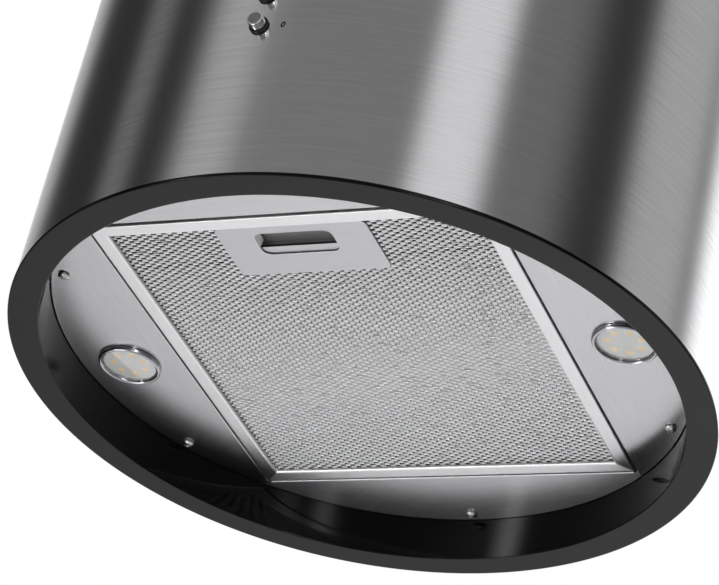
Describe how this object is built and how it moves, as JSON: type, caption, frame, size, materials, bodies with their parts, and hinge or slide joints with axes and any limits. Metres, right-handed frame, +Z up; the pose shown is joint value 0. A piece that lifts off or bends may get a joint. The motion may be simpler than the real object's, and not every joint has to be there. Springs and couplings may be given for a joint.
{
  "type": "island range hood",
  "caption": "Round steel island hood hung from the ceiling on a telescopic frame, with a tilting grease filter, recessed lamps and push buttons.",
  "frame": {"origin": "centre of the ceiling plate's upper face, on the hood's axis, where the ceiling is", "axes": "+Z up along the hood's axis, -Y towards the front with the push buttons, +X to the right seen from the front"},
  "size_m": [0.39, 0.3959, 0.85],
  "materials": {
    "shell_steel": "brushed round the tube, satin",
    "panel_steel": "fine brushed",
    "ring_black": "satin underside, glossy inner wall",
    "mesh_aluminium": "expanded sheet, layered",
    "filter_aluminium": "satin",
    "black_plastic": "moulded",
    "screw_steel": "bright",
    "bright_steel": "zinc plated",
    "chrome": "polished",
    "lens": "clear",
    "lamp_board": "white board with amber chips",
    "button_chrome": "polished",
    "zinc_steel": "zinc plated",
    "galvanised": "galvanised sheet",
    "motor_paint": "dull grey paint",
    "white_plastic": "moulded"
  },
  "bodies": {
    "ceiling_frame": {"ceiling_plate": "galvanised", "upper_shell": "shell_steel", "upper_post_rear_right": "zinc_steel", "upper_post_rear_left": "zinc_steel", "upper_post_front_left": "zinc_steel", "upper_post_front_right": "zinc_steel"},
    "hood": {"blower_housing": "galvanised", "blower_plate": "galvanised", "bottom_panel": "panel_steel", "bottom_ring": "ring_black", "button_bezel_light": "black_plastic", "button_bezel_off": "black_plastic", "button_bezel_speed_1": "black_plastic", "button_bezel_speed_2": "black_plastic", "button_bezel_speed_3": "black_plastic", "clamp_bolt_front_left": "bright_steel", "clamp_bolt_front_right": "bright_steel", "clamp_bolt_rear_left": "bright_steel", "clamp_bolt_rear_right": "bright_steel", "control_box": "white_plastic", "flap_pin": "bright_steel", "inner_carrier": "galvanised", "lamp_bezel_left": "chrome", "lamp_bezel_right": "chrome", "lamp_driver": "white_plastic", "lamp_lens_left": "lens", "lamp_lens_right": "lens", "lamp_module_left": "lamp_board", "lamp_module_right": "lamp_board", "lower_post_front_left": "zinc_steel", "lower_post_front_right": "zinc_steel", "lower_post_rear_left": "zinc_steel", "lower_post_rear_right": "zinc_steel", "lower_shell": "shell_steel", "motor_body": "motor_paint", "motor_bracket": "galvanised", "motor_capacitor": "white_plastic", "outlet_collar": "black_plastic", "panel_screw_1": "screw_steel", "panel_screw_2": "screw_steel", "panel_screw_3": "screw_steel", "panel_screw_4": "screw_steel", "panel_screw_5": "screw_steel", "panel_screw_6": "screw_steel", "switch_housing": "black_plastic"},
    "filter": {"filter_frame": "filter_aluminium", "filter_mesh": "mesh_aluminium", "filter_handle_plate": "filter_aluminium", "filter_handle_cover": "black_plastic", "latch_spring": "bright_steel"},
    "latch": {"filter_latch": "filter_aluminium"},
    "impeller": {"impeller": "white_plastic", "motor_shaft": "bright_steel"},
    "flap_rear": {"damper_flap_rear": "black_plastic"},
    "flap_front": {"damper_flap_front": "black_plastic"},
    "button_off": {"button_off": "button_chrome"},
    "button_speed_1": {"button_speed_1": "button_chrome"},
    "button_speed_2": {"button_speed_2": "button_chrome"},
    "button_speed_3": {"button_speed_3": "button_chrome"},
    "button_light": {"button_light": "button_chrome"}
  },
  "joints": [
    {"name": "telescope_slide", "type": "slide", "parent": "ceiling_frame", "child": "hood", "axis": [0, 0, 1], "range_m": [-0.1, 0.1]},
    {"name": "filter_tilt", "type": "hinge", "parent": "hood", "child": "filter", "pos_m": [0, 0.13089, -0.8221], "axis": [1, 0, 0], "range_deg": [0, 70]},
    {"name": "latch_slide", "type": "slide", "parent": "filter", "child": "latch", "axis": [0, 1, 0], "range_m": [0, 0.004], "stiffness_N_per_m": 300, "springref_m": -0.005, "deforming": ["latch_spring"]},
    {"name": "impeller_spin", "type": "hinge", "parent": "hood", "child": "impeller", "pos_m": [0, -0.07368, -0.6053], "axis": [1, 0, 0], "continuous": true},
    {"name": "flap_rear_swing", "type": "hinge", "parent": "hood", "child": "flap_rear", "pos_m": [0, 0, -0.4552], "axis": [1, 0, 0], "range_deg": [0, 75]},
    {"name": "flap_front_swing", "type": "hinge", "parent": "hood", "child": "flap_front", "pos_m": [0, 0, -0.4552], "axis": [-1, 0, 0], "range_deg": [0, 75]},
    {"name": "button_off_press", "type": "slide", "parent": "hood", "child": "button_off", "axis": [0, 1, 0], "range_m": [0, 0.003], "stiffness_N_per_m": 250, "springref_m": -0.003},
    {"name": "button_speed_1_press", "type": "slide", "parent": "hood", "child": "button_speed_1", "axis": [0, 1, 0], "range_m": [0, 0.003], "stiffness_N_per_m": 250, "springref_m": -0.003},
    {"name": "button_speed_2_press", "type": "slide", "parent": "hood", "child": "button_speed_2", "axis": [0, 1, 0], "range_m": [0, 0.003], "stiffness_N_per_m": 250, "springref_m": -0.003},
    {"name": "button_speed_3_press", "type": "slide", "parent": "hood", "child": "button_speed_3", "axis": [0, 1, 0], "range_m": [0, 0.003], "stiffness_N_per_m": 250, "springref_m": -0.003},
    {"name": "button_light_press", "type": "slide", "parent": "hood", "child": "button_light", "axis": [0, 1, 0], "range_m": [0, 0.003], "stiffness_N_per_m": 250, "springref_m": -0.003}
  ]
}
